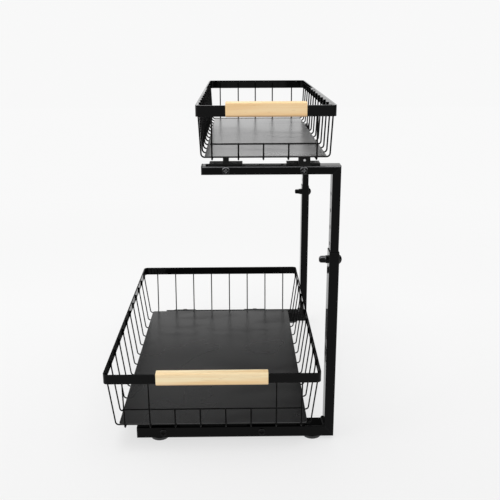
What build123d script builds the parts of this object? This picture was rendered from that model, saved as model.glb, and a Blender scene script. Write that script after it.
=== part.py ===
from build123d import *
from math import acos, degrees, floor
import os

os.makedirs("parts", exist_ok=True)

# Millimetres. X runs from the left end of the base tubes to the uprights, Y from the
# front frame to the back frame, Z up from the underside of the base tubes.

# Two frames of rectangular tube, front and back. The upper tube slips into the lower.
frame_spacing = 384.0
base_length = 250.0
base_height = 15.0
outer_depth = 22.0
outer_width = 12.0
outer_wall = 0.9
slip_gap = 0.1
inner_wall = 1.0
inner_post_reach = 83.5
tube_corner = 1.5
top_left = 88.8
top_tube_height = 10.0
top_height = 348.0
weld_size = 3.0

# Plastic plugs in the open tube ends.
cap_flange = 1.5
plug_length = 8.0
plug_gap = 0.15

# Feet, each with a stem pushed into the base tube.
foot_radius = 11.5
foot_height = 3.5
foot_rounding = 0.6
foot_left = 28.2
foot_right_inset = 26.7
stem_radius = 2.5
stem_length = 4.0
pin_gap = 0.05

# Height clamps, one on each pair of uprights.
clamp_height = 233.5
clamp_to_post_top = 11.0
hole_pitch = 20.0
end_hole_margin = 15.0
hole_radius = 2.5
stud_radius = 2.5
stud_tip_gap = 0.25
nut_flats = 8.6
clamp_nut_length = 3.0
knob_gap = 0.2
knob_length = 8.0
knob_root_radius = 4.4
knob_tip_radius = 4.1
knob_rounding = 3.0
knob_collar = 1.5
knob_thickness = 6.6
stud_depth = 4.0
dome_radius = 6.5
dome_height = 4.4

# Rail brackets: a plate on the tube and a tab hanging at its inner side.
bracket_width = 38.0
bracket_thickness = 2.5
tab_width = 16.0
tab_thickness = 2.0
tab_margin = 4.5
bracket_inset = 5.0

# Bracket screws go through the tube and the tab into a nut.
screw_radius = 2.0
head_radius = 4.5
head_height = 2.0
head_rounding = 1.2
recess_width = 1.1
recess_span = 4.6
recess_depth = 1.2
nut_length = 3.2
thread_past_nut = 1.0
screw_nut_flats = 7.0

# Rails: open-topped channels with turned-in lips. A runner shaped like a T on its head
# slides in each channel and carries the basket.
rail_width = 6.6
rail_height = 7.9
rail_wall = 0.8
lip_slot = 2.4
runner_gap = 0.1
runner_side_gap = 0.3
runner_flange_height = 1.5
runner_web = 1.8
runner_front_gap = 0.2
runner_tab = 1.5
stop_length = 8.0
stop_side_gap = 0.45
stop_height_gap = 0.4
rail_stop_length = 6.0
stop_clearance = 0.5
travel = 250.0
lower_rail_left = 33.6
lower_rail_right_inset = 91.6
upper_rail_left_inset = 28.25
upper_rail_right_inset = 43.0

# Behind its walls each rail ends in a flat tongue, held on the back bracket by a rivet.
rail_tongue = 25.0
rivet_inset = 10.0
rivet_radius = 1.5
rivet_head = 2.6
rivet_head_height = 1.6
rivet_rounding = 0.8

# Baskets: a flat rim band with bent wires welded inside it.
wire_radius = 0.9
wire_bend = 4.0
knee_bend = 30.0
wire_bottom_rise = 2.0
wire_end_below_rim = 3.6
band_thickness = 1.8
band_height = 12.0
band_corner = 6.0
basket_overhang = 27.7
basket_back_inset = 21.7
front_wire_inset = 13.1
back_wire_inset = 23.9
tray_thickness = 1.0
tray_corner = 4.0
tray_margin = 4.0

lower_overhang = 33.5
lower_post_clearance = 8.5
lower_basket_height = 74.7
lower_side_taper = 8.0
lower_front_taper = 4.5
lower_back_taper = 6.0
lower_cross_count = 12
lower_depth_count = 8
lower_full_count = 2
lower_outer_wire_inset = 22.65
lower_low_wire_height = 24.8
lower_tray_back_inset = 23.3

upper_overhang = 3.7
upper_right_inset = 10.8
upper_basket_height = 58.7
upper_side_taper = 2.3
upper_front_taper = 1.0
upper_back_taper = 3.0
upper_cross_count = 13
upper_left_wire_inset = 17.25
upper_right_wire_inset = 20.5
upper_inner_wire_pitch = 27.6
upper_middle_wire_shift = -2.6
upper_low_wire_height = 16.6
upper_tray_back_inset = 42.3

# Wooden handles, slotted over the front of the band and screwed on from inside.
handle_height = 16.0
handle_thickness = 12.0
handle_front_reach = 6.0
handle_rounding = 2.5
handle_chamfer = 0.6
lower_handle_length = 134.5
upper_handle_length = 87.5
band_slot_gap = 0.05
handle_screw_radius = 1.5
handle_screw_head = 3.0
handle_screw_head_height = 1.4
handle_screw_length = 9.0
handle_screw_inset = 18.0

# Catch block at the front of the upper right runner.
catch_width = 13.2
catch_depth = 8.2
catch_height = 10.2
catch_lift = 1.0
catch_rounding = 0.8
catch_screw_radius = 1.2
catch_screw_head = 1.6
catch_screw_head_height = 1.2
catch_screw_height = 7.0
catch_screw_end_gap = 0.1

# Cuts run this far past the faces that they open.
cut_past = 1.0

middle_y = outer_depth / 2
back_y = middle_y + frame_spacing
mid_plane = Plane(origin=(0, (middle_y + back_y) / 2, 0), z_dir=(0, 1, 0))
outer_left = base_length - outer_width
outer_post_top = clamp_height + clamp_to_post_top
inner_post_bottom = clamp_height - inner_post_reach
inner_depth = outer_depth - 2 * (outer_wall + slip_gap)
inner_width = outer_width - 2 * (outer_wall + slip_gap)
inner_right = base_length - outer_wall - slip_gap
inner_left = inner_right - inner_width
foot_right = base_length - foot_right_inset
basket_front = -basket_overhang
basket_back = back_y + middle_y - basket_back_inset
first_cross_wire = basket_front + front_wire_inset
last_cross_wire = basket_back - back_wire_inset
rail_front = bracket_inset
rail_back = back_y + middle_y - bracket_inset
runner_back = last_cross_wire + wire_bend
lower_rail_right = base_length - lower_rail_right_inset
upper_rail_left = top_left + upper_rail_left_inset
upper_rail_right = inner_right - upper_rail_right_inset
lower_wire_bottom = base_height + bracket_thickness + rail_height + wire_bottom_rise
upper_wire_bottom = top_height + bracket_thickness + rail_height + wire_bottom_rise
lower_rim_left = -lower_overhang
lower_rim_right = outer_left - lower_post_clearance
lower_rim_top = lower_wire_bottom + lower_basket_height
lower_low_wire = lower_wire_bottom + lower_low_wire_height
upper_rim_left = top_left - upper_overhang
upper_rim_right = inner_right - upper_right_inset
upper_rim_top = upper_wire_bottom + upper_basket_height
upper_low_wire = upper_wire_bottom + upper_low_wire_height
far = 2 * frame_spacing


def block(low, high):
    size = [b - a for a, b in zip(low, high)]
    return Pos(*low) * Box(*size, align=(Align.MIN, Align.MIN, Align.MIN))


def rod_along_y(x, start, z, radius, length):
    return Pos(x, start + length / 2, z) * Rot(90, 0, 0) * Cylinder(radius, length)


def rod_along_x(start, z, radius, length):
    return Pos(start + length / 2, middle_y, z) * Rot(0, 90, 0) * Cylinder(radius, length)


def ring(width, depth, wall):
    outer = RectangleRounded(width, depth, tube_corner)
    inner = RectangleRounded(width - 2 * wall, depth - 2 * wall, tube_corner - wall)
    return outer - inner


def tube_along_x(left, right, low, height, depth, wall):
    profile = Pos(middle_y, low + height / 2) * ring(depth, height, wall)
    return extrude(Plane.YZ.offset(left) * profile, right - left)


def tube_along_z(left, low, high, width, depth, wall):
    profile = Pos(left + width / 2, middle_y) * ring(width, depth, wall)
    return extrude(Plane.XY.offset(low) * profile, high - low)


def region(*corners):
    return extrude(Plane.XZ * Polygon(*corners, align=None), far, both=True)


def at_back(shape):
    return mirror(shape, about=mid_plane)


def save(name, *shapes):
    solids = [solid for shape in shapes for solid in shape.solids()]
    export_step(to_origin * Compound(solids), f"parts/{name}.step")


def end_cap(left, low, height, depth, wall):
    flange = RectangleRounded(depth, height, tube_corner)
    reach = 2 * (wall + plug_gap)
    plug = RectangleRounded(depth - reach, height - reach, tube_corner - wall)
    centre = Pos(middle_y, low + height / 2)
    outside = extrude(Plane.YZ.offset(left) * centre * flange, cap_flange)
    inside = extrude(Plane.YZ.offset(left + cap_flange) * centre * plug, plug_length)
    return outside + inside


def foot(x):
    bottom = (Align.CENTER, Align.CENTER, Align.MIN)
    pad = Cylinder(foot_radius, foot_height, align=bottom)
    pad = fillet(pad.edges().sort_by(Axis.Z)[0], foot_rounding)
    stem = Pos(0, 0, foot_height) * Cylinder(stem_radius, stem_length, align=bottom)
    return Pos(x, middle_y, -foot_height) * (pad + stem)


def hexagon_along_y(x, start, z, flats, length, hole):
    outline = RegularPolygon(flats / 2, 6, major_radius=False)
    bore = rod_along_y(0, -cut_past, 0, hole, length + 2 * cut_past)
    return Pos(x, start, z) * (extrude(Plane.XZ * outline, -length) - bore)


def bracket(x, tube_top, tube_height, tube_back):
    half = bracket_width / 2
    plate_top = tube_top + bracket_thickness
    tab_back = tube_back + tab_thickness
    tab_low = tube_top - tube_height / 2 - tab_margin
    plate = block((x - half, bracket_inset, tube_top), (x + half, tab_back, plate_top))
    half = tab_width / 2
    tab = block((x - half, tube_back, tab_low), (x + half, tab_back, plate_top))
    hole_z = tube_top - tube_height / 2
    start = tube_back - cut_past
    hole = rod_along_y(x, start, hole_z, screw_radius + pin_gap, tab_thickness + 2 * cut_past)
    rivet_hole = Pos(x, bracket_inset + rivet_inset, tube_top) * Cylinder(
        rivet_radius + pin_gap, 2 * bracket_thickness + cut_past
    )
    return plate + tab - hole - rivet_hole


def bracket_screw(x, z, tube_front, tube_back):
    head = rod_along_y(x, tube_front - head_height, z, head_radius, head_height)
    head = fillet(head.edges().sort_by(Axis.Y)[0], head_rounding)
    for angle in (0, 90):
        arm = Box(recess_span, 2 * recess_depth, recess_width)
        head = head - Pos(x, tube_front - head_height, z) * Rot(0, angle, 0) * arm
    length = tube_back - tube_front + tab_thickness + nut_length + thread_past_nut
    return head + rod_along_y(x, tube_front, z, screw_radius, length)


def bracket_nut(x, z, tube_back):
    start = tube_back + tab_thickness
    return hexagon_along_y(x, start, z, screw_nut_flats, nut_length, screw_radius + pin_gap)


def rivet(x, low):
    y = rail_back - rivet_inset
    lift = (Align.CENTER, Align.CENTER, Align.MIN)
    head = Cylinder(rivet_head, rivet_head_height, align=lift)
    head = fillet(head.edges().sort_by(Axis.Z)[-1], rivet_rounding)
    head = Pos(x, y, low + rail_wall) * head
    shank = Cylinder(rivet_radius, bracket_thickness + rail_wall, align=lift)
    return head + Pos(x, y, low - bracket_thickness) * shank


def rail(x, low):
    half = rail_width / 2
    inner = half - rail_wall
    top = low + rail_height
    walls_back = rail_back - rail_tongue
    body = block((x - half, rail_front, low), (x + half, walls_back, top))
    hollow_low = low + rail_wall
    hollow_top = top - rail_wall
    body -= block((x - inner, rail_front, hollow_low), (x + inner, walls_back, hollow_top))
    slot = lip_slot / 2
    body -= block((x - slot, rail_front, hollow_top), (x + slot, walls_back, top))
    stop_back = runner_back - stop_length - travel - stop_clearance
    stop_low = low + rail_wall + runner_gap + runner_flange_height + stop_height_gap
    for side in (-1, 1):
        near = side * (runner_web / 2 + stop_side_gap)
        left, right = sorted((x + near, x + side * inner))
        body += block((left, stop_back - rail_stop_length, stop_low), (right, stop_back, hollow_top))
    tongue = block((x - half, walls_back, low), (x + half, rail_back, hollow_low))
    tongue_hole = Pos(x, rail_back - rivet_inset, low) * Cylinder(rivet_radius + pin_gap, 2 * rail_height)
    return body + (tongue - tongue_hole)


def runner(x, low, wire_bottom):
    flange = rail_width / 2 - rail_wall - runner_side_gap
    start = rail_front - runner_front_gap
    base = low + rail_wall + runner_gap
    flange_top = base + runner_flange_height
    bar = block((x - flange, start, base), (x + flange, runner_back, flange_top))
    web = runner_web / 2
    bar += block((x - web, start, base), (x + web, runner_back, wire_bottom))
    stop_top = low + rail_height - rail_wall - stop_height_gap
    bar += block((x - flange, runner_back - stop_length, base), (x + flange, runner_back, stop_top))
    half = rail_width / 2
    front = block((x - half, start - runner_tab, low + runner_gap), (x + half, start, low + rail_height))
    return bar + front


def bent_wire(points, bends):
    path = FilletPolyline(*points, radius=bends)
    return sweep((path ^ 0) * Circle(wire_radius), path)


def straight_wire(start, length):
    return Pos(*start) * Rot(0, 90, 0) * Cylinder(
        wire_radius, length, align=(Align.CENTER, Align.CENTER, Align.MIN)
    )


def band(left, right, top):
    width = right - left
    depth = basket_back - basket_front
    outer = RectangleRounded(width, depth, band_corner)
    inner = RectangleRounded(
        width - 2 * band_thickness, depth - 2 * band_thickness, band_corner - band_thickness
    )
    centre = Pos((left + right) / 2, (basket_front + basket_back) / 2)
    return extrude(Plane.XY.offset(top - band_height) * centre * (outer - inner), band_height)


def cross_wires(left, right, top, wire_bottom, taper, count):
    inset = band_thickness + wire_radius
    high = top - wire_end_below_rim
    knee = top - band_height
    low = wire_bottom + wire_radius
    outline = [
        (left + inset, first_cross_wire, high),
        (left + inset, first_cross_wire, knee),
        (left + inset + taper, first_cross_wire, low),
        (right - inset - taper, first_cross_wire, low),
        (right - inset, first_cross_wire, knee),
        (right - inset, first_cross_wire, high),
    ]
    wire = bent_wire(outline, (knee_bend, wire_bend, wire_bend, knee_bend))
    pitch = (last_cross_wire - first_cross_wire) / (count - 1)
    return [Pos(0, n * pitch, 0) * wire for n in range(count)]


def depth_wires(places, full, top, low_wire, wire_bottom, front_taper, back_taper):
    inset = band_thickness + wire_radius
    high = top - wire_end_below_rim
    knee = top - band_height
    low = wire_bottom - wire_radius
    front = basket_front + inset
    back = basket_back - inset
    rear = [(0, back - back_taper, low), (0, back, knee), (0, back, high)]
    tall = [(0, front, high), (0, front, knee), (0, front + front_taper, low)]
    share = (knee - low_wire - wire_radius) / (knee - low)
    short = [(0, front + share * front_taper, low_wire + wire_radius), tall[-1]]
    tall_wire = bent_wire(tall + rear, (knee_bend, wire_bend, wire_bend, knee_bend))
    short_wire = bent_wire(short + rear, (wire_bend, wire_bend, knee_bend))
    return [Pos(x, 0, 0) * (tall_wire if x in full else short_wire) for x in places]


def low_front_wire(places, top, low_wire, wire_bottom, front_taper):
    knee = top - band_height
    low = wire_bottom - wire_radius
    front = basket_front + band_thickness + wire_radius
    drop = knee - low
    lean = (front_taper**2 + drop**2) ** 0.5 / drop
    y = front + front_taper * (knee - low_wire) / drop + 2 * wire_radius * lean
    overhang = 2 * wire_radius
    start = places[0] - overhang
    return straight_wire((start, y, low_wire), places[-1] - places[0] + 2 * overhang)


def tray(left, right, wire_bottom, side_taper, front_taper, back_inset):
    edge = band_thickness + wire_radius + tray_margin
    width = right - left - 2 * (edge + side_taper)
    front = basket_front + edge + front_taper
    back = basket_back - back_inset
    outline = RectangleRounded(width, back - front, tray_corner)
    centre = Pos((left + right) / 2, (front + back) / 2)
    low = wire_bottom + 2 * wire_radius
    return extrude(Plane.XY.offset(low) * centre * outline, tray_thickness)


def handle_screw_places(centre, length):
    reach = length / 2 - handle_screw_inset
    return [centre - reach, centre + reach]


def handle_back():
    return basket_front - handle_front_reach + handle_thickness


def handle(centre, length, rim_top):
    low = rim_top - band_height
    front = basket_front - handle_front_reach
    profile = Pos(front + handle_thickness / 2, low + handle_height / 2) * RectangleRounded(
        handle_thickness, handle_height, handle_rounding
    )
    wood = extrude(Plane.YZ.offset(centre - length / 2) * profile, length)
    ends = wood.faces().sort_by(Axis.X)
    wood = chamfer(ends[0].edges() + ends[-1].edges(), handle_chamfer)
    slot_front = basket_front - band_slot_gap
    slot_back = basket_front + band_thickness + band_slot_gap
    slot_top = rim_top + band_slot_gap
    half = length / 2
    wood -= block((centre - half, slot_front, low), (centre + half, slot_back, slot_top))
    for x in handle_screw_places(centre, length):
        wood -= handle_screw_hole(x, low + band_height / 2)
    return wood


def handle_screw_hole(x, z):
    start = handle_back() - handle_screw_length - pin_gap
    return rod_along_y(x, start, z, handle_screw_radius + pin_gap, handle_screw_length + cut_past)


def handle_screw(x, z):
    back = handle_back()
    shaft = rod_along_y(x, back - handle_screw_length, z, handle_screw_radius, handle_screw_length)
    head = rod_along_y(x, back, z, handle_screw_head, handle_screw_head_height)
    head = fillet(head.edges().sort_by(Axis.Y)[-1], handle_screw_head_height / 2)
    return head + shaft


# Frames.
bottom_miter = [
    (outer_left - outer_width, 2 * base_height),
    (base_length + outer_width, -base_height),
]
base_side = region(*bottom_miter, (-far, -base_height), (-far, 2 * base_height))
post_side = region(*bottom_miter, (base_length + outer_width, far), (outer_left - outer_width, far))
top_miter = [
    (inner_left - inner_width, top_height - 2 * top_tube_height),
    (inner_right + inner_width, top_height + top_tube_height),
]
top_side = region(*top_miter, (0, top_height + top_tube_height), (0, top_height - 2 * top_tube_height))
inner_side = region(*top_miter, (inner_right + inner_width, 0), (inner_left - inner_width, 0))

base_tube = base_side & tube_along_x(
    cap_flange, base_length, 0, base_height, outer_depth, outer_wall
)
outer_post = post_side & tube_along_z(
    outer_left, 0, outer_post_top, outer_width, outer_depth, outer_wall
)
bead = Pos(outer_left, middle_y, base_height) * Rot(90, 0, 0) * Cylinder(
    weld_size, outer_depth - 2 * tube_corner
)
bead_room = block((outer_left - weld_size, 0, base_height), (outer_left, outer_depth, 2 * base_height))
outer_post += bead & bead_room
top_tube = top_side & tube_along_x(
    top_left + cap_flange, inner_right, top_height - top_tube_height, top_tube_height,
    inner_depth, inner_wall
)
inner_post = inner_side & tube_along_z(
    inner_left, inner_post_bottom, top_height, inner_width, inner_depth, inner_wall
)

# Holes in the frames.
base_screw_z = base_height / 2
top_screw_z = top_height - top_tube_height / 2
outer_back = outer_depth
inner_front = middle_y - inner_depth / 2
inner_back = middle_y + inner_depth / 2
for x in (lower_rail_left, lower_rail_right):
    base_tube -= rod_along_y(x, 0, base_screw_z, screw_radius + pin_gap, outer_depth)
for x in (foot_left, foot_right):
    base_tube -= Pos(x, middle_y, 0) * Cylinder(stem_radius + pin_gap, base_height)
for x in (upper_rail_left, upper_rail_right):
    top_tube -= rod_along_y(x, 0, top_screw_z, screw_radius + pin_gap, outer_depth)
outer_post -= rod_along_x(outer_left, clamp_height, stud_radius + pin_gap, outer_width)
room_above = top_height - top_tube_height - end_hole_margin - clamp_height
room_below = inner_post_reach - end_hole_margin
for n in range(-floor(room_below / hole_pitch), floor(room_above / hole_pitch) + 1):
    z = clamp_height + n * hole_pitch
    inner_post -= rod_along_x(inner_left, z, hole_radius, inner_width / 2)

# Clamps. The two knobs stop a quarter turn apart when they are tight.
nut_left = outer_left - clamp_nut_length
knob_root = nut_left - knob_gap
clamp_nut = Pos(outer_left, middle_y, clamp_height) * Rot(0, 0, 90) * hexagon_along_y(
    0, 0, 0, nut_flats, clamp_nut_length, stud_radius + pin_gap
)
knob_tip = knob_root - knob_length
upright = (Align.CENTER, Align.CENTER, Align.MIN)
grip = Cone(knob_root_radius, knob_tip_radius, knob_length, align=upright)
grip = fillet(grip.edges().sort_by(Axis.Z)[-1], knob_rounding)
for side in (-1, 1):
    flat = Box(2 * knob_root_radius, knob_root_radius, knob_length, align=upright)
    grip -= Pos(0, side * (knob_thickness + knob_root_radius) / 2, knob_collar) * flat
grip -= Cylinder(stud_radius + pin_gap, stud_depth, align=upright)
knob_place = Pos(knob_root, middle_y, clamp_height)
front_knob = knob_place * Rot(0, -90, 0) * grip
back_knob = knob_place * Rot(90, 0, 0) * Rot(0, -90, 0) * grip
stud_start = knob_root - stud_depth
stud = rod_along_x(stud_start, clamp_height, stud_radius, inner_left - stud_tip_gap - stud_start)
ball = (dome_radius**2 + dome_height**2) / (2 * dome_height)
dome_outline = [
    Line((0, 0), (0, dome_radius)),
    CenterArc((dome_height - ball, 0), ball, 0, degrees(acos(1 - dome_height / ball))),
    Line((dome_height, 0), (0, 0)),
]
dome = revolve(Plane.XZ * make_face(dome_outline), Axis.X)
dome = Pos(base_length, middle_y, clamp_height) * dome
dome += rod_along_x(inner_right + 2 * slip_gap, clamp_height, stud_radius, outer_wall - slip_gap)

# Baskets.
lower_middle = (lower_rim_left + lower_rim_right) / 2
upper_middle = (upper_rim_left + upper_rim_right) / 2
lower_first = lower_rim_left + lower_outer_wire_inset
lower_pitch = (lower_rim_right - lower_outer_wire_inset - lower_first) / (lower_depth_count - 1)
lower_places = [lower_first + n * lower_pitch for n in range(lower_depth_count)]
lower_full = lower_places[:lower_full_count] + lower_places[-lower_full_count:]
upper_wire_middle = upper_middle + upper_middle_wire_shift
upper_places = [
    upper_rim_left + upper_left_wire_inset,
    upper_wire_middle - upper_inner_wire_pitch,
    upper_wire_middle,
    upper_wire_middle + upper_inner_wire_pitch,
    upper_rim_right - upper_right_wire_inset,
]
upper_full = [upper_places[0], upper_places[-1]]


def rim_with_holes(left, right, top, length):
    centre = (left + right) / 2
    rim = band(left, right, top)
    for x in handle_screw_places(centre, length):
        rim -= handle_screw_hole(x, top - band_height / 2)
    return rim


def handle_screws(centre, length, top):
    return [handle_screw(x, top - band_height / 2) for x in handle_screw_places(centre, length)]


# The origin is the middle of the whole footprint, on the floor.
left_end = lower_rim_left
right_end = base_length + dome_height
front_end = basket_front - handle_front_reach
back_end = back_y + middle_y + head_height
to_origin = Pos(-(left_end + right_end) / 2, -(front_end + back_end) / 2, foot_height)

save("front_base_tube", base_tube)
save("back_base_tube", at_back(base_tube))
save("front_outer_post", outer_post)
save("back_outer_post", at_back(outer_post))
save("front_top_tube", top_tube)
save("back_top_tube", at_back(top_tube))
save("front_inner_post", inner_post)
save("back_inner_post", at_back(inner_post))

base_cap = end_cap(0, 0, base_height, outer_depth, outer_wall)
top_cap = end_cap(top_left, top_height - top_tube_height, top_tube_height, inner_depth, inner_wall)
post_plug = extrude(
    Plane.XY.offset(inner_post_bottom - cap_flange)
    * Pos(inner_left + inner_width / 2, middle_y)
    * RectangleRounded(inner_width, inner_depth, tube_corner),
    cap_flange,
) + extrude(
    Plane.XY.offset(inner_post_bottom)
    * Pos(inner_left + inner_width / 2, middle_y)
    * RectangleRounded(
        inner_width - 2 * (inner_wall + plug_gap),
        inner_depth - 2 * (inner_wall + plug_gap),
        tube_corner - inner_wall,
    ),
    plug_length,
)
save("base_end_caps", base_cap, at_back(base_cap))
save("top_end_caps", top_cap, at_back(top_cap))
save("inner_post_plugs", post_plug, at_back(post_plug))

feet = [foot(foot_left), foot(foot_right)]
save("feet", *feet, *[at_back(one) for one in feet])

save("clamp_nuts", clamp_nut, at_back(clamp_nut))
save("clamp_domes", dome, at_back(dome))
save("front_knob", front_knob)
save("back_knob", at_back(back_knob))
save("front_stud", stud)
save("back_stud", at_back(stud))


def save_rails(level, left, right, tube_top, tube_height, tube_front, tube_back, wire_bottom):
    low = tube_top + bracket_thickness
    screw_z = tube_top - tube_height / 2
    brackets, screws, nuts, rivets = [], [], [], []
    for side, x in (("left", left), ("right", right)):
        brackets.append(bracket(x, tube_top, tube_height, tube_back))
        screws.append(bracket_screw(x, screw_z, tube_front, tube_back))
        nuts.append(bracket_nut(x, screw_z, tube_back))
        rivets.append(rivet(x, low))
        save(f"{level}_rail_{side}", rail(x, low))
        slider = runner(x, low, wire_bottom)
        if (level, side) == ("upper", "right"):
            hole = rod_along_y(x, 0, catch_screw_z, catch_screw_radius + pin_gap, rail_front)
            slider -= hole
        save(f"{level}_runner_{side}", slider)
    for name, shapes in (("brackets", brackets), ("screws", screws), ("nuts", nuts)):
        save(f"{level}_rail_{name}", *shapes, *[at_back(one) for one in shapes])
    save(f"{level}_rail_rivets", *rivets)


catch_low = top_height + catch_lift
catch_back = rail_front - runner_front_gap - runner_tab
catch_front = catch_back - catch_depth
catch_screw_z = catch_low + catch_screw_height
save_rails(
    "lower", lower_rail_left, lower_rail_right, base_height, base_height,
    0, outer_back, lower_wire_bottom,
)
save_rails(
    "upper", upper_rail_left, upper_rail_right, top_height, top_tube_height,
    inner_front, inner_back, upper_wire_bottom,
)

half_catch = catch_width / 2
catch = block(
    (upper_rail_right - half_catch, catch_front, catch_low),
    (upper_rail_right + half_catch, catch_back, catch_low + catch_height),
)
catch = fillet(catch.edges().filter_by(Axis.Y), catch_rounding)
catch -= rod_along_y(
    upper_rail_right, catch_front, catch_screw_z, catch_screw_radius + pin_gap, catch_depth
)
catch_screw = rod_along_y(
    upper_rail_right, catch_front - catch_screw_head_height, catch_screw_z,
    catch_screw_head, catch_screw_head_height,
)
catch_screw = fillet(catch_screw.edges().sort_by(Axis.Y)[0], catch_screw_head_height / 2)
catch_screw += rod_along_y(
    upper_rail_right, catch_front, catch_screw_z, catch_screw_radius,
    rail_front - runner_front_gap - catch_screw_end_gap - catch_front,
)
save("upper_catch", catch)
save("upper_catch_screw", catch_screw)

save("lower_rim", rim_with_holes(lower_rim_left, lower_rim_right, lower_rim_top, lower_handle_length))
save("upper_rim", rim_with_holes(upper_rim_left, upper_rim_right, upper_rim_top, upper_handle_length))
save("lower_handle", handle(lower_middle, lower_handle_length, lower_rim_top))
save("upper_handle", handle(upper_middle, upper_handle_length, upper_rim_top))
save("lower_handle_screws", *handle_screws(lower_middle, lower_handle_length, lower_rim_top))
save("upper_handle_screws", *handle_screws(upper_middle, upper_handle_length, upper_rim_top))

save("lower_cross_wires", *cross_wires(
    lower_rim_left, lower_rim_right, lower_rim_top, lower_wire_bottom, lower_side_taper,
    lower_cross_count,
))
save("upper_cross_wires", *cross_wires(
    upper_rim_left, upper_rim_right, upper_rim_top, upper_wire_bottom, upper_side_taper,
    upper_cross_count,
))
save("lower_depth_wires", *depth_wires(
    lower_places, lower_full, lower_rim_top, lower_low_wire, lower_wire_bottom,
    lower_front_taper, lower_back_taper,
))
save("upper_depth_wires", *depth_wires(
    upper_places, upper_full, upper_rim_top, upper_low_wire, upper_wire_bottom,
    upper_front_taper, upper_back_taper,
))
save("lower_front_wire", low_front_wire(
    lower_places, lower_rim_top, lower_low_wire, lower_wire_bottom, lower_front_taper
))
save("upper_front_wire", low_front_wire(
    upper_places, upper_rim_top, upper_low_wire, upper_wire_bottom, upper_front_taper
))
save("lower_tray", tray(
    lower_rim_left, lower_rim_right, lower_wire_bottom, lower_side_taper, lower_front_taper,
    lower_tray_back_inset,
))
save("upper_tray", tray(
    upper_rim_left, upper_rim_right, upper_wire_bottom, upper_side_taper, upper_front_taper,
    upper_tray_back_inset,
))
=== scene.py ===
from math import cos, sin

import bmesh
import bpy
from mathutils import Matrix, Vector


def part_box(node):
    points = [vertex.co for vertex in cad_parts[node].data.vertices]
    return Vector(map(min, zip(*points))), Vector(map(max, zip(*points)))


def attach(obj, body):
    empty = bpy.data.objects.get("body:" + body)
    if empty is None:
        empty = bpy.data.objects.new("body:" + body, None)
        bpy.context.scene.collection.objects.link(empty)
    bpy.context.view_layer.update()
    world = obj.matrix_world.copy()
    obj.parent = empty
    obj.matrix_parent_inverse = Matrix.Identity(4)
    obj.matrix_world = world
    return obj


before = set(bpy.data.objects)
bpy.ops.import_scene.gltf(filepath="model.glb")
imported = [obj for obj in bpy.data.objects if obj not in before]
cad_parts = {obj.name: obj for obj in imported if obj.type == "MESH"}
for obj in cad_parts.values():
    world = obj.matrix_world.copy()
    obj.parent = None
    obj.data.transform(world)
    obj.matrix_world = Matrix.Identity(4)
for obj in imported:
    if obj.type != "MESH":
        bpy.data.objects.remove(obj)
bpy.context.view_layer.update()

# ---------------------------------------------------------------- weld spots, in metres

weld_reach = 0.00125
weld_thickness = 0.0005
weld_length = 0.0018
band_thickness = 0.0018
# Each wire is held on a rim's band at these depths below the rim's top.
rim_weld_depths = (0.0054, 0.0094)
# The front end of a depth wire is what lies this near to its foremost point.
front_end_reach = 0.004

# ---------------------------------------------------------------- camera of the photograph

# Found together with the sizes of the part. The place is in metres, the angles are in radians,
# the picture and the focal length in its pixels, and the sensor in millimetres.
camera_place = Vector((0.02178, -1.00287, 0.49866))
camera_turn = 0.0154
camera_pitch = 0.2938
camera_roll = -0.0026
picture_size = 500
half_pixel = 0.5 / picture_size
focal_pixels = 725.0
sensor_width = 36.0
nearest_seen = 0.01

# ---------------------------------------------------------------- studio

background_tone = 0.94
glow_on_object = 0.62
# How bright gloss finds the studio: the sine of the height in it, and the glow there.
glow_by_height = ((0.0, 1.0), (0.30, 1.0), (0.35, 0.30), (0.41, 0.15), (0.50, 0.08), (0.62, 0.05))
# Towards the right, this much of the heading is added to the height, so the glow dims sooner.
glow_lean = 0.6

floor_half_width = 4.0
floor_tones = (0.86, 0.88)
# The floor also glows: in the first tone in front, in the second behind, between these depths.
floor_glow_tones = (0.86, 0.945)
floor_glow_depths = (-0.5, 0.3)
# The glow's share of the floor near the object, and from where to where it grows to the whole.
floor_glow_share = 0.74
floor_glow_distances = (0.35, 1.3)

lamp_target = Vector((0, 0, 0.2))

# ---------------------------------------------------------------- shader helpers

NUMBER, COLOUR, PLACE = "NodeSocketFloat", "NodeSocketColor", "NodeSocketVector"
SURFACE = [("Color", COLOUR), ("Roughness", NUMBER), ("Height", NUMBER)]


def flat(tone):
    return (tone, tone, tone, 1)


def grey(tone):
    """A grey that leans a little to blue."""
    return (tone, tone, tone * 1.04, 1)


def fill(tree, sockets, values):
    """Links each named socket to the output given for it, or sets it to the plain value given."""
    for name, value in values.items():
        if isinstance(value, bpy.types.NodeSocket):
            tree.links.new(value, sockets[name])
        else:
            sockets[name].default_value = value


def add(tree, kind, inputs=None, **settings):
    node = tree.nodes.new(kind)
    for name, value in settings.items():
        setattr(node, name, value)
    fill(tree, node.inputs, inputs or {})
    return node


def maths(tree, operation, first, second):
    node = add(tree, "ShaderNodeMath", {0: first, 1: second}, operation=operation)
    return node.outputs["Value"]


def times(tree, first, second):
    return maths(tree, "MULTIPLY", first, second)


def weighed(tree, first, second, share):
    """The first value times its share, plus the second times what is left of one."""
    return maths(tree, "ADD", times(tree, first, share), times(tree, second, 1 - share))


def clamp(tree, value):
    return add(tree, "ShaderNodeClamp", {"Value": value}).outputs["Result"]


def blend(tree, factor, low, high):
    node = add(tree, "ShaderNodeMix", {"Factor": factor, "A": low, "B": high}, data_type="RGBA")
    return node.outputs["Result"]


def spread(tree, value, low=0.0, high=1.0, start=0.0, end=1.0, **settings):
    """Stretches what lies between start and end to lie between low and high."""
    inputs = {"Value": value, "From Min": start, "From Max": end, "To Min": low, "To Max": high}
    return add(tree, "ShaderNodeMapRange", inputs, **settings).outputs["Result"]


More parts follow.
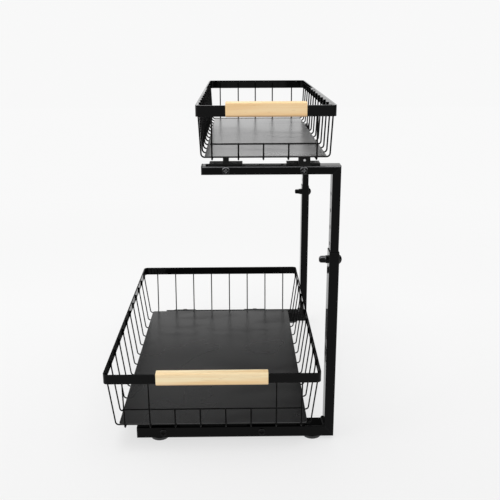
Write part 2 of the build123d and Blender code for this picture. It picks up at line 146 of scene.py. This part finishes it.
def noise(tree, place, scale, detail=2.0, stretch=(1, 1, 1)):
    mapping = add(tree, "ShaderNodeMapping", {"Vector": place, "Scale": stretch})
    inputs = {"Vector": mapping.outputs["Vector"], "Scale": scale, "Detail": detail}
    return add(tree, "ShaderNodeTexNoise", inputs).outputs["Fac"]


def part_along(tree, vector, axis):
    return add(tree, "ShaderNodeSeparateXYZ", {"Vector": vector}).outputs[axis]


def facing_up(tree):
    """1 where the surface faces up, -1 where it faces down."""
    return part_along(tree, add(tree, "ShaderNodeNewGeometry").outputs["Normal"], "Z")


# ---------------------------------------------------------------- shared effects


def group(name, inputs, outputs):
    """A new node group, with the sockets that it is given and those that it has to fill."""
    tree = bpy.data.node_groups.new(name, "ShaderNodeTree")
    for side, sockets in (("INPUT", inputs), ("OUTPUT", outputs)):
        for label, kind in sockets:
            tree.interface.new_socket(label, in_out=side, socket_type=kind)
    return tree, add(tree, "NodeGroupInput").outputs, add(tree, "NodeGroupOutput").inputs


def coat_group():
    """A sprayed or moulded surface: fine grain, with broad patches of other tone and gloss."""
    tree, given, out = group(
        "coat_grain",
        [("Place", PLACE), ("Deep", COLOUR), ("Pale", COLOUR), ("Grain Scale", NUMBER),
         ("Patch Scale", NUMBER), ("Gloss Side", NUMBER), ("Dull Side", NUMBER)],
        SURFACE,
    )
    grain = noise(tree, given["Place"], given["Grain Scale"], detail=3.0)
    patch = noise(tree, given["Place"], given["Patch Scale"])
    tone = weighed(tree, grain, patch, share=0.35)
    fill(tree, out, {
        "Color": blend(tree, tone, given["Deep"], given["Pale"]),
        "Roughness": spread(tree, patch, given["Gloss Side"], given["Dull Side"]),
        "Height": grain,
    })
    return tree


def wear_and_glint_group():
    """An edge mask: where the surface turns sharply, broken up by noise. It gives worn edges on the
    coatings and painted glints on the upper screws.
    """
    tree, given, out = group(
        "edge_wear_and_glint",
        [("Place", PLACE), ("Reach", NUMBER), ("Amount", NUMBER)],
        [("Mask", NUMBER)],
    )
    rounded = add(tree, "ShaderNodeBevel", {"Radius": given["Reach"]}, samples=4).outputs["Normal"]
    plain = add(tree, "ShaderNodeNewGeometry").outputs["True Normal"]
    likeness = add(tree, "ShaderNodeVectorMath", {0: rounded, 1: plain}, operation="DOT_PRODUCT")
    turned = maths(tree, "SUBTRACT", 1.0, likeness.outputs["Value"])
    # Noisy edge mask: worn edges on the coatings, painted glints on the upper screws.
    highlight_and_wear = times(tree, turned, noise(tree, given["Place"], scale=220.0, detail=4.0))
    fill(tree, out, {"Mask": clamp(tree, times(tree, highlight_and_wear, given["Amount"]))})
    return tree


def painted_highlight_group():
    """Painted highlight: where a rounded surface turns between upright and level and faces up, as light
    from above would catch it.
    """
    tree, given, out = group(
        "painted_highlight",
        [("Place", PLACE), ("Steepness", NUMBER), ("Gain", NUMBER)],
        [("Mask", NUMBER)],
    )
    up = facing_up(tree)
    risen = maths(tree, "POWER", maths(tree, "MAXIMUM", up, 0.0), given["Steepness"])
    hump = times(tree, times(tree, risen, maths(tree, "SUBTRACT", 1.0, up)), given["Gain"])
    patchy = spread(tree, noise(tree, given["Place"], scale=300.0), low=0.6, high=1.3)
    fill(tree, out, {"Mask": clamp(tree, times(tree, hump, patchy))})
    return tree


def waves_group():
    """Streaks across a thin sheet that lies loose, where shallow waves take its gloss away."""
    tree, given, out = group(
        "sheet_waves",
        [("Place", PLACE), ("Full", NUMBER), ("Faint", NUMBER)],
        [("Gloss", NUMBER)],
    )
    ripples = noise(tree, given["Place"], scale=50.0, detail=1.0, stretch=(0.25, 1, 1))
    areas = noise(tree, given["Place"], scale=8.0, detail=1.0)
    streaks = times(
        tree, spread(tree, ripples, start=0.45, end=0.62), spread(tree, areas, start=0.45, end=0.60),
    )
    fill(tree, out, {"Gloss": spread(tree, streaks, given["Full"], given["Faint"])})
    return tree


def wood_group():
    """Pale close-grained wood with its grain along X, a few rays in it and painted shade on its
    underside.
    """
    tree, given, out = group(
        "wood_grain",
        [("Place", PLACE), ("Light", COLOUR), ("Dark", COLOUR), ("Ray", COLOUR), ("Under", COLOUR)],
        SURFACE,
    )
    ray_threshold, ray_strength, shade_gain = 0.70, 0.28, 1.3
    bands = noise(tree, given["Place"], scale=150.0, detail=3.0, stretch=(0.04, 1, 1))
    lines = noise(tree, given["Place"], scale=900.0, detail=4.0, stretch=(0.03, 1, 1))
    flecks = noise(tree, given["Place"], scale=700.0, detail=1.0, stretch=(0.14, 1, 1))
    tone = spread(tree, weighed(tree, bands, lines, share=0.75), low=-1.6, high=2.6)
    rays = times(tree, maths(tree, "GREATER_THAN", flecks, ray_threshold), ray_strength)
    body = blend(tree, rays, blend(tree, tone, given["Light"], given["Dark"]), given["Ray"])
    # Painted shade: downward-facing surfaces take the darker shade colour.
    down = clamp(tree, times(tree, facing_up(tree), -shade_gain))
    fill(tree, out, {
        "Color": blend(tree, down, body, given["Under"]),
        "Roughness": spread(tree, lines, low=0.38, high=0.52),
        "Height": lines,
    })
    return tree


def metal_group():
    """Plated steel: fine brushing, with spots of a dimmer tone."""
    tree, given, out = group(
        "plated_steel",
        [("Place", PLACE), ("Bright", COLOUR), ("Dim", COLOUR), ("Scale", NUMBER)],
        SURFACE,
    )
    brushing = noise(tree, given["Place"], given["Scale"], detail=4.0, stretch=(1, 0.2, 1))
    spots = noise(tree, given["Place"], scale=350.0)
    fill(tree, out, {
        "Color": blend(tree, spots, given["Bright"], given["Dim"]),
        "Roughness": spread(tree, brushing, low=0.22, high=0.42),
        "Height": brushing,
    })
    return tree


coat_grain = coat_group()
edge_wear_and_glint = wear_and_glint_group()
painted_highlight = painted_highlight_group()
sheet_waves = waves_group()
wood_grain = wood_group()
plated_steel = metal_group()

# ---------------------------------------------------------------- materials


def start_material(name):
    material = bpy.data.materials.new(name)
    material.use_nodes = True
    tree = material.node_tree
    shader = tree.nodes["Principled BSDF"]
    place = add(tree, "ShaderNodeTexCoord").outputs["Object"]
    return material, tree, shader, place


def use_group(tree, effect, place, **values):
    inputs = {name.replace("_", " "): value for name, value in values.items()}
    return add(tree, "ShaderNodeGroup", {"Place": place, **inputs}, node_tree=effect).outputs


def finish_shader(tree, shader, colour, surface, depth, strength):
    """Feeds the shader its colour, and the roughness and the fine relief of the surface."""
    bump = add(tree, "ShaderNodeBump", {
        "Height": surface["Height"], "Distance": depth, "Strength": strength,
    })
    fill(tree, shader.inputs, {
        "Base Color": colour, "Roughness": surface["Roughness"], "Normal": bump.outputs["Normal"],
    })


def coated(name, tones, roughness, level, grain_scale=1400.0, patch_scale=28.0, wear_and_glint_tone=None, reach=0.0012,
           amount=3.0, strength=0.25, highlight_and_wear=None, steepness=1.0, gain=4.0, varnish=0.0,
           varnish_dull=0.2, streaked=None):
    """Black coating, plastic or rubber. Where they are given, the edge tone is worn paint on the
    coatings and painted glints on the upper screws, the upper-corner tone is a painted highlight where
    light from above would catch the rounded corners, and streaked is what the streaks leave of its
    varnish."""
    material, tree, shader, place = start_material(name)
    coat = use_group(
        tree, coat_grain, place, Deep=grey(tones[0]), Pale=grey(tones[1]), Grain_Scale=grain_scale,
        Patch_Scale=patch_scale, Gloss_Side=roughness[0], Dull_Side=roughness[1],
    )
    colour = coat["Color"]
    # Edge tone: worn paint on the coatings, and on the upper screws painted glints at the head's rim
    # and recess.
    if wear_and_glint_tone is not None:
        wear_and_glint = use_group(tree, edge_wear_and_glint, place, Reach=reach, Amount=amount)
        colour = blend(tree, wear_and_glint["Mask"], colour, grey(wear_and_glint_tone))
    # Painted highlight: a paler tone on upward-facing rounded corners, standing in for overhead light
    # caught there.
    if highlight_and_wear is not None:
        corner = use_group(tree, painted_highlight, place, Steepness=steepness, Gain=gain)
        colour = blend(tree, corner["Mask"], colour, grey(highlight_and_wear))
    finish_shader(tree, shader, colour, coat, depth=0.00006, strength=strength)
    fill(tree, shader.inputs, {
        "Specular IOR Level": level, "Coat Weight": varnish, "Coat Roughness": varnish_dull,
    })
    if streaked is not None:
        waves = use_group(tree, sheet_waves, place, Full=varnish, Faint=streaked)
        fill(tree, shader.inputs, {"Coat Weight": waves["Gloss"]})
    return material


def wooden(name, light, dark):
    material, tree, shader, place = start_material(name)
    wood = use_group(
        tree, wood_grain, place, Light=light, Dark=dark, Ray=(0.66, 0.42, 0.20, 1),
        # Painted shade for the handles' undersides.
        Under=(0.40, 0.24, 0.12, 1),
    )
    finish_shader(tree, shader, wood["Color"], wood, depth=0.00008, strength=0.3)
    return material


def plated(name, bright, dim):
    material, tree, shader, place = start_material(name)
    steel = use_group(tree, plated_steel, place, Bright=bright, Dim=dim, Scale=1500.0)
    finish_shader(tree, shader, steel["Color"], steel, depth=0.00003, strength=0.2)
    fill(tree, shader.inputs, {"Metallic": 1.0})
    return material


frame_coat = coated(
    "frame_powder_coat", tones=(0.0012, 0.0026), roughness=(0.05, 0.11), level=0.09, wear_and_glint_tone=0.02,
    strength=0.06,
)
# The top tubes' copy of the frame coat, with a painted highlight along their front top edge.
top_coat_painted_highlight = coated(
    "top_powder_coat_painted_highlight", tones=(0.0012, 0.0024), roughness=(0.05, 0.11), level=0.07, wear_and_glint_tone=0.02,
    strength=0.06, highlight_and_wear=0.24,
)
basket_coat = coated(
    "basket_powder_coat", tones=(0.0012, 0.0024), roughness=(0.05, 0.10), level=0.10, wear_and_glint_tone=0.02,
    strength=0.06,
)
wire_coat = coated("wire_coat", tones=(0.0010, 0.0022), roughness=(0.24, 0.34), level=0.06)
rail_coat = coated("rail_black", tones=(0.0020, 0.0045), roughness=(0.22, 0.34), level=0.14, wear_and_glint_tone=0.03)
cap_plastic = coated(
    "cap_plastic", tones=(0.003, 0.006), roughness=(0.40, 0.55), level=0.15, grain_scale=900.0,
)
# The front knob's copy has a painted glint on its upper side; the back knob's copy is less glossy and
# has none, standing in for the shade it lies in.
front_knob_painted_glint = coated(
    "front_knob_painted_glint", tones=(0.002, 0.004), roughness=(0.08, 0.14), level=0.12, grain_scale=900.0,
    strength=0.05, highlight_and_wear=0.25, steepness=3.0, gain=9.5,
)
back_knob_shaded_copy = coated(
    "back_knob_shaded_copy", tones=(0.002, 0.004), roughness=(0.08, 0.14), level=0.06, grain_scale=900.0,
    strength=0.05,
)
tray_sheet = coated(
    "tray_sheet", tones=(0.0040, 0.0060), roughness=(0.24, 0.32), level=0.3, grain_scale=700.0,
    patch_scale=9.0, strength=0.08, varnish=1.0, varnish_dull=0.27, streaked=0.62,
)
foot_rubber = coated(
    "foot_rubber", tones=(0.018, 0.04), roughness=(0.45, 0.6), level=0.4, grain_scale=600.0,
)
# The upper screws have painted glints on the rim and recess of their heads; the lower screws' copy has
# only a faint painted highlight, standing in for the shade they sit in.
upper_screw_painted_glints = coated(
    "upper_screw_painted_glints", tones=(0.002, 0.004), roughness=(0.10, 0.16), level=0.10, grain_scale=1800.0,
    wear_and_glint_tone=0.8, reach=0.0004, amount=10.0, strength=0.05, highlight_and_wear=0.8, steepness=3.0, gain=9.5,
)
lower_screw_shaded_copy = coated(
    "lower_screw_shaded_copy", tones=(0.002, 0.004), roughness=(0.10, 0.16), level=0.10, grain_scale=1800.0,
    strength=0.05, highlight_and_wear=0.06, steepness=3.0, gain=9.5,
)
lower_wood = wooden("lower_wood", light=(0.98, 0.82, 0.53, 1), dark=(0.90, 0.63, 0.32, 1))
upper_wood = wooden("upper_wood", light=(0.94, 0.70, 0.40, 1), dark=(0.86, 0.54, 0.24, 1))
screw_steel = plated("screw_steel", bright=(0.62, 0.62, 0.63, 1), dim=(0.45, 0.45, 0.46, 1))
stud_steel = plated("stud_steel", bright=(0.30, 0.30, 0.31, 1), dim=flat(0.2))

# ---------------------------------------------------------------- finishes on the CAD nodes

# Each node's name ends in just one of these.
finishes = (
    (("base_tube", "outer_post", "inner_post", "clamp_domes"), frame_coat),
    (("top_tube",), top_coat_painted_highlight),
    (("rim",), basket_coat),
    (("wires", "front_wire"), wire_coat),
    (("rail_left", "rail_right", "runner_left", "runner_right"), rail_coat),
    (("brackets", "rivets", "clamp_nuts"), rail_coat),
    (("end_caps", "plugs", "catch"), cap_plastic),
    (("front_knob",), front_knob_painted_glint),
    (("back_knob",), back_knob_shaded_copy),
    (("tray",), tray_sheet),
    (("feet",), foot_rubber),
    (("lower_handle",), lower_wood),
    (("upper_handle",), upper_wood),
    (("stud",), stud_steel),
    (("handle_screws", "catch_screw", "rail_nuts"), screw_steel),
    (("lower_rail_screws",), lower_screw_shaded_copy),
    (("upper_rail_screws",), upper_screw_painted_glints),
)


def finish_of(node_name):
    return next(material for endings, material in finishes if node_name.endswith(endings))


def dress(thing, material):
    thing.data.materials.clear()
    thing.data.materials.append(material)


for node_name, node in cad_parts.items():
    dress(node, finish_of(node_name))

# ---------------------------------------------------------------- new objects


def show(name, data):
    thing = bpy.data.objects.new(name, data)
    bpy.context.scene.collection.objects.link(thing)
    return thing


def show_mesh(name, work, material):
    mesh = bpy.data.meshes.new(name)
    work.to_mesh(mesh)
    work.free()
    thing = show(name, mesh)
    dress(thing, material)
    return thing


# ---------------------------------------------------------------- weld spots on the baskets


def loose_shapes(node_name):
    """The corners of each separate solid of a CAD node."""
    work = bmesh.new()
    work.from_mesh(bpy.data.objects[node_name].data)
    bmesh.ops.remove_doubles(work, verts=work.verts, dist=1e-6)
    shapes, seen = [], set()
    for start in work.verts:
        if start in seen:
            continue
        seen.add(start)
        waiting, shape = [start], []
        while waiting:
            corner = waiting.pop()
            shape.append(corner.co.copy())
            for edge in corner.link_edges:
                neighbour = edge.other_vert(corner)
                if neighbour not in seen:
                    seen.add(neighbour)
                    waiting.append(neighbour)
        shapes.append(shape)
    work.free()
    return shapes


def middle(values):
    return (min(values) + max(values)) / 2


def add_spot(work, place, radii):
    """A flattened ball."""
    made = bmesh.ops.create_icosphere(work, subdivisions=2, radius=1.0)
    bmesh.ops.scale(work, verts=made["verts"], vec=radii)
    bmesh.ops.translate(work, verts=made["verts"], vec=place)


def weld_basket(level):
    """A small flattened spot wherever two wires cross or a wire ends on the rim."""
    work = bmesh.new()
    rim_low, rim_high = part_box(f"{level}_rim")
    wire_low, wire_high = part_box(f"{level}_front_wire")
    crossing_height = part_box(f"{level}_cross_wires")[0].z
    wire_height = middle((wire_low.z, wire_high.z))
    rim_heights = [rim_high.z - depth for depth in rim_weld_depths]
    depth_wires = [
        (middle([corner.x for corner in wire]), wire) for wire in loose_shapes(f"{level}_depth_wires")
    ]
    on_side = (weld_thickness, weld_reach, weld_length)
    on_end = (weld_reach, weld_thickness, weld_length)
    for wire in loose_shapes(f"{level}_cross_wires"):
        y = middle([corner.y for corner in wire])
        for x, _ in depth_wires:
            add_spot(work, (x, y, crossing_height), (weld_reach, weld_reach, weld_thickness))
        for z in rim_heights:
            add_spot(work, (rim_low.x + band_thickness, y, z), on_side)
            add_spot(work, (rim_high.x - band_thickness, y, z), on_side)
    for x, wire in depth_wires:
        front = min(corner.y for corner in wire)
        front_top = max(corner.z for corner in wire if corner.y < front + front_end_reach)
        add_spot(work, (x, wire_low.y, wire_height), (weld_reach, weld_thickness, weld_reach))
        for z in rim_heights:
            add_spot(work, (x, rim_high.y - band_thickness, z), on_end)
            if front_top > z:
                add_spot(work, (x, rim_low.y + band_thickness, z), on_end)
    for face in work.faces:
        face.smooth = True
    welds = show_mesh(f"{level}_welds", work, wire_coat)
    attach(welds, f"{level}_basket")


weld_basket("lower")
weld_basket("upper")

# ---------------------------------------------------------------- floor, light and camera


def floor_material():
    """A pale floor that shows shadows near the object and glows like the background farther off."""
    material, tree, shader, place = start_material("pale_floor")
    near_tones = [flat(tone) for tone in floor_tones]
    far_tones = [flat(tone) for tone in floor_glow_tones]
    fill(tree, shader.inputs, {
        "Base Color": blend(tree, noise(tree, place, scale=3.0), *near_tones),
        "Roughness": 0.9,
        "Specular IOR Level": 0.1,
    })
    start, end = floor_glow_depths
    behind = spread(tree, part_along(tree, place, "Y"), start=start, end=end)
    glow = add(tree, "ShaderNodeEmission", {"Color": blend(tree, behind, *far_tones)})
    start, end = floor_glow_distances
    distance = add(tree, "ShaderNodeVectorMath", {0: place}, operation="LENGTH").outputs["Value"]
    share = spread(
        tree, distance, low=floor_glow_share, start=start, end=end, interpolation_type="SMOOTHSTEP",
    )
    surface = add(tree, "ShaderNodeMixShader", {
        "Fac": share, 1: shader.outputs["BSDF"], 2: glow.outputs["Emission"],
    })
    fill(tree, tree.nodes["Material Output"].inputs, {"Surface": surface.outputs["Shader"]})
    return material


def lay_floor():
    work = bmesh.new()
    bmesh.ops.create_grid(work, x_segments=1, y_segments=1, size=floor_half_width)
    floor = show_mesh("studio_floor", work, floor_material())


def light_world():
    """White for the camera, an even glow on the object, and for gloss a white horizon that
    grows dim overhead, more so to the right."""
    world = bpy.data.worlds.new("studio_world")
    bpy.context.scene.world = world
    world.use_nodes = True
    tree = world.node_tree
    path = add(tree, "ShaderNodeLightPath").outputs
    heading = add(tree, "ShaderNodeTexCoord").outputs["Generated"]
    rightward = maths(tree, "MAXIMUM", part_along(tree, heading, "X"), 0.0)
    height = maths(tree, "ADD", part_along(tree, heading, "Z"), times(tree, rightward, glow_lean))
    horizon = add(tree, "ShaderNodeValToRGB", {"Fac": height})
    stops = horizon.color_ramp.elements
    while len(stops) < len(glow_by_height):
        stops.new(0.5)
    for stop, (place, glow) in zip(stops, glow_by_height):
        stop.position = place
        stop.color = flat(glow)
    lit = blend(tree, path["Is Glossy Ray"], flat(glow_on_object), horizon.outputs["Color"])
    seen = maths(tree, "MAXIMUM", path["Is Camera Ray"], path["Is Transmission Ray"])
    colour = blend(tree, seen, lit, flat(background_tone))
    fill(tree, tree.nodes["Background"].inputs, {"Color": colour})


def soft_box(name, place, width, height, watts):
    lamp = bpy.data.lights.new(name, "AREA")
    lamp.shape = "RECTANGLE"
    lamp.size = width
    lamp.size_y = height
    lamp.energy = watts
    holder = show(name, lamp)
    holder.location = place
    holder.rotation_euler = (lamp_target - Vector(place)).to_track_quat("-Z", "Y").to_euler()


def place_camera():
    ahead = Vector((
        sin(camera_turn) * cos(camera_pitch),
        cos(camera_turn) * cos(camera_pitch),
        -sin(camera_pitch),
    ))
    level = Vector((cos(camera_turn), -sin(camera_turn), 0))
    upright = level.cross(ahead)
    right = level * cos(camera_roll) + upright * sin(camera_roll)
    up = upright * cos(camera_roll) - level * sin(camera_roll)
    lens = bpy.data.cameras.new("photo_camera")
    lens.sensor_width = sensor_width
    lens.lens = focal_pixels / picture_size * sensor_width
    lens.clip_start = nearest_seen
    lens.shift_x = -half_pixel
    lens.shift_y = half_pixel
    camera = show("photo_camera", lens)
    turn = Matrix((right, up, -ahead)).transposed()
    camera.matrix_world = Matrix.Translation(camera_place) @ turn.to_4x4()
    bpy.context.scene.camera = camera


lay_floor()
light_world()
soft_box("top_box", place=(0.1, -0.1, 1.9), width=1.6, height=1.6, watts=22)
soft_box("left_box", place=(-1.6, -0.9, 1.0), width=0.9, height=1.2, watts=7)
place_camera()
bpy.context.scene.view_settings.view_transform = "Standard"
